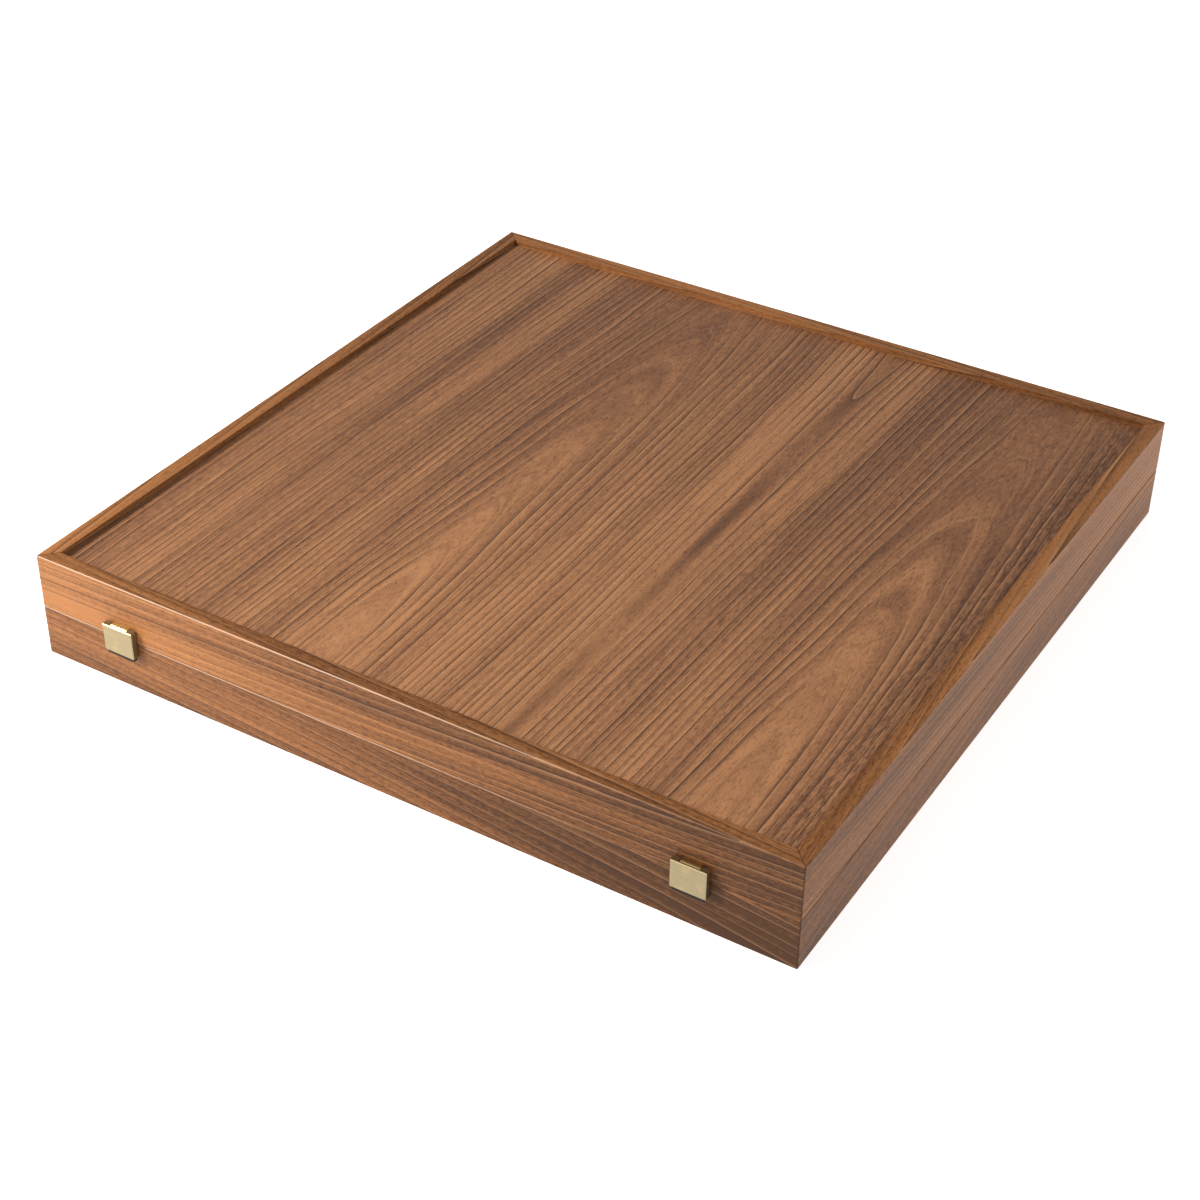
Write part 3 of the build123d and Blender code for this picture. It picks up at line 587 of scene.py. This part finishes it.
# Knights. Each lies on its side, in its own frame: X to the muzzle, Z to the ears, Y down into the pocket.
knight_lean = math.radians(12.25)
knight_places = (0.145, 0.12455, 0.02505)
knight_shelf = 0.0185
knight_voxel = 0.00055
mane_width = 0.0062
mane_top = 0.058
mane_height = 0.00035
lock_height = 0.0003
lock_pitch = 0.00095
# Middle along X and Z, radius and height of what is raised or hollowed on both sides of the head
knight_features = {
    "cheek": (0.0058, 0.0445, 0.0042, 0.0008),
    "socket": (0.0040, 0.0520, 0.0022, -0.0009),
    "eye": (0.0040, 0.0520, 0.0011, 0.0010),
    "nostril": (0.0128, 0.0396, 0.0009, -0.0007),
    "lip": (0.0118, 0.0372, 0.0010, 0.0003),
    "ear": (-0.0012, 0.0600, 0.0012, -0.0006),
    "throat": (0.0030, 0.0310, 0.0045, -0.0007),
}


def knight_frame(facing, side):
    """Where a knight lies: facing is 1 for the light men and -1 for the dark, side which of the two."""
    x_axis = Vector((facing, 0.0, 0.0))
    z_axis = Vector((0.0, facing * math.cos(knight_lean), -math.sin(knight_lean)))
    y_axis = z_axis.cross(x_axis)
    column, row, height = knight_places
    turn = Matrix((x_axis, y_axis, z_axis)).transposed().to_4x4()
    return Matrix.Translation((facing * side * column, -facing * row, height)) @ turn


def carved_knight():
    """One knight in its own frame, its flat sides rounded, with eyes, cheeks and a mane cut in locks."""
    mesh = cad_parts["light_knights"].data.copy()
    shape = bmesh.new()
    shape.from_mesh(mesh)
    other = [point for point in shape.verts if point.co.x > 0]
    bmesh.ops.delete(shape, geom=other, context="VERTS")
    shape.transform(knight_frame(1, -1).inverted())
    shape.to_mesh(mesh)
    shape.free()
    mesh = worked(mesh, [("REMESH", {"mode": "VOXEL", "voxel_size": knight_voxel})])

    def rounding(place):
        above = min(1.0, max(0.0, (place.z - knight_shelf) / 0.004))
        return 0.08 + 0.92 * above * (1.0 if place.z < 0.054 else 0.35)

    soft = {"factor": 0.5, "iterations": 22, "vertex_group": "weight"}
    mesh = worked(mesh, [("SMOOTH", soft)], rounding)
    back = {}
    for point in mesh.vertices:
        level = round(point.co.z / 0.001)
        back[level] = min(back.get(level, 1.0), point.co.x)
    moves = []
    for point in mesh.vertices:
        x, y, z = point.co
        raised = 0.0
        if z > knight_shelf + 0.001:
            flat = abs(point.normal.y)
            for middle_x, middle_z, radius, height in knight_features.values():
                away = ((x - middle_x) ** 2 + (z - middle_z) ** 2) / radius**2
                raised += height * flat * math.exp(-away)
            inward = x - back[round(z / 0.001)]
            if z < mane_top and inward < mane_width:
                lock = math.sin((z + 0.9 * inward) / lock_pitch)
                ends = (z - knight_shelf) / 0.004, (mane_top - z) / 0.003
                fade = min(1.0, (mane_width - inward) / 0.0008, *ends)
                raised += fade * (mane_height + lock_height * lock)
        moves.append(point.normal * raised)
    for point, move in zip(mesh.vertices, moves):
        point.co += move
    return mesh


knight_mesh = carved_knight()
for colour, facing, material in (("light", 1, light_man), ("dark", -1, dark_man)):
    pair = bmesh.new()
    for side in (-1, 1):
        one = knight_mesh.copy()
        one.transform(knight_frame(facing, side))
        pair.from_mesh(one)
    mesh = bpy.data.meshes.new(f"{colour}_carved_knights")
    pair.to_mesh(mesh)
    pair.free()
    new_piece(f"{colour}_carved_knights", mesh, material, "base", f"{colour}_knights")

# Floor, light and camera

floor_mesh = bpy.data.meshes.new("floor")
floor_reach = 12.0
floor_corners = [(x * floor_reach, y * floor_reach, 0.0) for x, y in ((-1, -1), (1, -1), (1, 1), (-1, 1))]
floor_mesh.from_pydata(floor_corners, [], [(0, 1, 2, 3)])
floor = bpy.data.objects.new("floor", floor_mesh)
bpy.context.collection.objects.link(floor)
white = Shader("white_table")
speckle = white.noise(white.coordinates.outputs["Object"], scale=300.0, detail=2.0)
floor.data.materials.append(
    white.finish(
        white.mix(speckle, (0.90, 0.90, 0.90), (0.93, 0.93, 0.93)),
        0.6,
        Emission_Color=(1.0, 1.0, 1.0, 1.0),
        Emission_Strength=0.62,
    )
)
bpy.context.scene.view_settings.view_transform = "Standard"

world = bpy.data.worlds.new("studio")
bpy.context.scene.world = world
world.use_nodes = True
sky = world.node_tree.nodes["Background"]
sky.inputs[0].default_value = (1.0, 1.0, 1.0, 1.0)
# The backdrop is seen white but lights the case softly
seen = world.node_tree.nodes.new("ShaderNodeLightPath")
glow = world.node_tree.nodes.new("ShaderNodeMapRange")
glow.inputs["To Min"].default_value = 0.40
world.node_tree.links.new(seen.outputs["Is Camera Ray"], glow.inputs["Value"])
world.node_tree.links.new(glow.outputs[0], sky.inputs[1])


def area_light(name, location, target, size, power, colour=(1.0, 1.0, 1.0)):
    lamp = bpy.data.lights.new(name, "AREA")
    lamp.shape = "SQUARE"
    lamp.size = size
    lamp.energy = power
    lamp.color = colour
    holder = bpy.data.objects.new(name, lamp)
    bpy.context.collection.objects.link(holder)
    holder.location = location
    holder.rotation_mode = "QUATERNION"
    holder.rotation_quaternion = (Vector(target) - Vector(location)).to_track_quat("-Z", "Y")


warm = (1.0, 0.93, 0.84)
area_light("key", (-1.0, -1.0, 0.95), target=(-0.05, -0.05, 0.03), size=0.5, power=34.0, colour=warm)
area_light("side", (2.2, 0.3, 1.2), target=(0.0, 0.0, 0.03), size=1.4, power=16.0)

camera_data = bpy.data.cameras.new("camera")
camera_data.sensor_width = 36.0
camera_data.lens = 68.31
camera_data.clip_start = 0.01
camera_data.clip_end = 20.0
camera = bpy.data.objects.new("camera", camera_data)
bpy.context.collection.objects.link(camera)
bpy.context.scene.camera = camera
right = Vector((0.852431, 0.522678, 0.012969))
back = Vector((0.419931, -0.699218, 0.578578))
up = back.cross(right)
camera_place = Matrix.Translation((0.5884, -1.01175, 0.81328))
camera.matrix_world = camera_place @ Matrix((right, up, back)).transposed().to_4x4()
